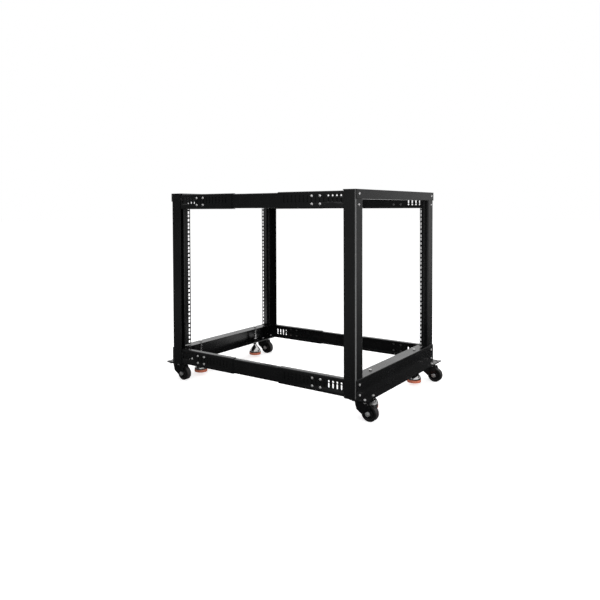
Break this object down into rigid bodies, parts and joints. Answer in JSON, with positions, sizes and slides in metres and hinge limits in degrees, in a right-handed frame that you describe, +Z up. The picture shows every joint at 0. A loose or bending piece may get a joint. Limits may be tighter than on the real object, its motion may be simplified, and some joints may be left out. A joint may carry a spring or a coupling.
{
  "type": "four post open frame rack",
  "caption": "Low open frame equipment rack in black steel, with square-hole mounting posts, telescoping side rails, braked swivel casters and levelling feet",
  "frame": {"origin": "on the floor, under the middle of the rack", "axes": "-Y is the front with the plain top beam that faces the user, +X is the right seen from the front, +Z is up"},
  "size_m": [0.6, 0.853, 0.6985],
  "materials": {
    "black_powder_coat": "semi-gloss black powder coat on folded steel sheet",
    "caster_steel": "black coated pressed steel",
    "wheel_black": "smooth black moulded plastic",
    "chrome": "bright plated steel",
    "zinc": "zinc plated steel",
    "orange_pad": "matt salmon orange moulded pad"
  },
  "bodies": {
    "frame": {"front_left_post": "black_powder_coat", "front_right_post": "black_powder_coat", "rear_left_post": "black_powder_coat", "rear_right_post": "black_powder_coat", "front_top_beam": "black_powder_coat", "rear_top_beam": "black_powder_coat", "front_base_beam": "black_powder_coat", "rear_base_beam": "black_powder_coat", "left_bottom_rail_front": "black_powder_coat", "left_bottom_rail_middle": "black_powder_coat", "left_bottom_rail_rear": "black_powder_coat", "right_bottom_rail_front": "black_powder_coat", "right_bottom_rail_middle": "black_powder_coat", "right_bottom_rail_rear": "black_powder_coat", "left_top_rail_front": "black_powder_coat", "left_top_rail_middle": "black_powder_coat", "left_top_rail_rear": "black_powder_coat", "right_top_rail_front": "black_powder_coat", "right_top_rail_middle": "black_powder_coat", "right_top_rail_rear": "black_powder_coat", "front_left_caster_plate": "caster_steel", "front_right_caster_plate": "caster_steel", "rear_left_caster_plate": "caster_steel", "rear_right_caster_plate": "caster_steel"},
    "front_left_fork": {"front_left_caster_fork": "caster_steel"},
    "front_left_wheel": {"front_left_caster_wheel": "wheel_black"},
    "front_left_foot": {"front_left_foot_stud": "chrome", "front_left_foot_pad": "orange_pad"},
    "front_right_fork": {"front_right_caster_fork": "caster_steel"},
    "front_right_wheel": {"front_right_caster_wheel": "wheel_black"},
    "front_right_foot": {"front_right_foot_stud": "chrome", "front_right_foot_pad": "orange_pad"},
    "rear_left_fork": {"rear_left_caster_fork": "caster_steel"},
    "rear_left_wheel": {"rear_left_caster_wheel": "wheel_black"},
    "rear_left_foot": {"rear_left_foot_stud": "chrome", "rear_left_foot_pad": "orange_pad"},
    "rear_right_fork": {"rear_right_caster_fork": "caster_steel"},
    "rear_right_wheel": {"rear_right_caster_wheel": "wheel_black"},
    "rear_right_foot": {"rear_right_foot_stud": "chrome", "rear_right_foot_pad": "orange_pad"},
    "brake_lever": {"brake_lever": "zinc"}
  },
  "joints": [
    {"name": "front_left_swivel", "type": "hinge", "parent": "frame", "child": "front_left_fork", "pos_m": [-0.26, -0.3875, 0.0575], "axis": [0, 0, 1], "continuous": true},
    {"name": "front_left_axle", "type": "hinge", "parent": "front_left_fork", "child": "front_left_wheel", "pos_m": [-0.26, -0.41, 0.025], "axis": [1, 0, 0], "continuous": true},
    {"name": "front_left_foot_screw", "type": "slide", "parent": "frame", "child": "front_left_foot", "axis": [0, 0, 1], "range_m": [-0.025, 0.005]},
    {"name": "front_right_swivel", "type": "hinge", "parent": "frame", "child": "front_right_fork", "pos_m": [0.26, -0.3875, 0.0575], "axis": [0, 0, 1], "continuous": true},
    {"name": "front_right_axle", "type": "hinge", "parent": "front_right_fork", "child": "front_right_wheel", "pos_m": [0.26, -0.41, 0.025], "axis": [1, 0, 0], "continuous": true},
    {"name": "front_right_foot_screw", "type": "slide", "parent": "frame", "child": "front_right_foot", "axis": [0, 0, 1], "range_m": [-0.025, 0.005]},
    {"name": "rear_left_swivel", "type": "hinge", "parent": "frame", "child": "rear_left_fork", "pos_m": [-0.26, 0.3875, 0.0575], "axis": [0, 0, 1], "continuous": true},
    {"name": "rear_left_axle", "type": "hinge", "parent": "rear_left_fork", "child": "rear_left_wheel", "pos_m": [-0.26, 0.365, 0.025], "axis": [1, 0, 0], "continuous": true},
    {"name": "rear_left_foot_screw", "type": "slide", "parent": "frame", "child": "rear_left_foot", "axis": [0, 0, 1], "range_m": [-0.025, 0.005]},
    {"name": "rear_right_swivel", "type": "hinge", "parent": "frame", "child": "rear_right_fork", "pos_m": [0.26, 0.3875, 0.0575], "axis": [0, 0, 1], "continuous": true},
    {"name": "rear_right_axle", "type": "hinge", "parent": "rear_right_fork", "child": "rear_right_wheel", "pos_m": [0.26, 0.365, 0.025], "axis": [1, 0, 0], "continuous": true},
    {"name": "rear_right_foot_screw", "type": "slide", "parent": "frame", "child": "rear_right_foot", "axis": [0, 0, 1], "range_m": [-0.025, 0.005]},
    {"name": "brake_hinge", "type": "hinge", "parent": "front_left_fork", "child": "brake_lever", "pos_m": [-0.26, -0.409, 0.0529], "axis": [1, 0, 0], "range_deg": [0, 8]}
  ]
}
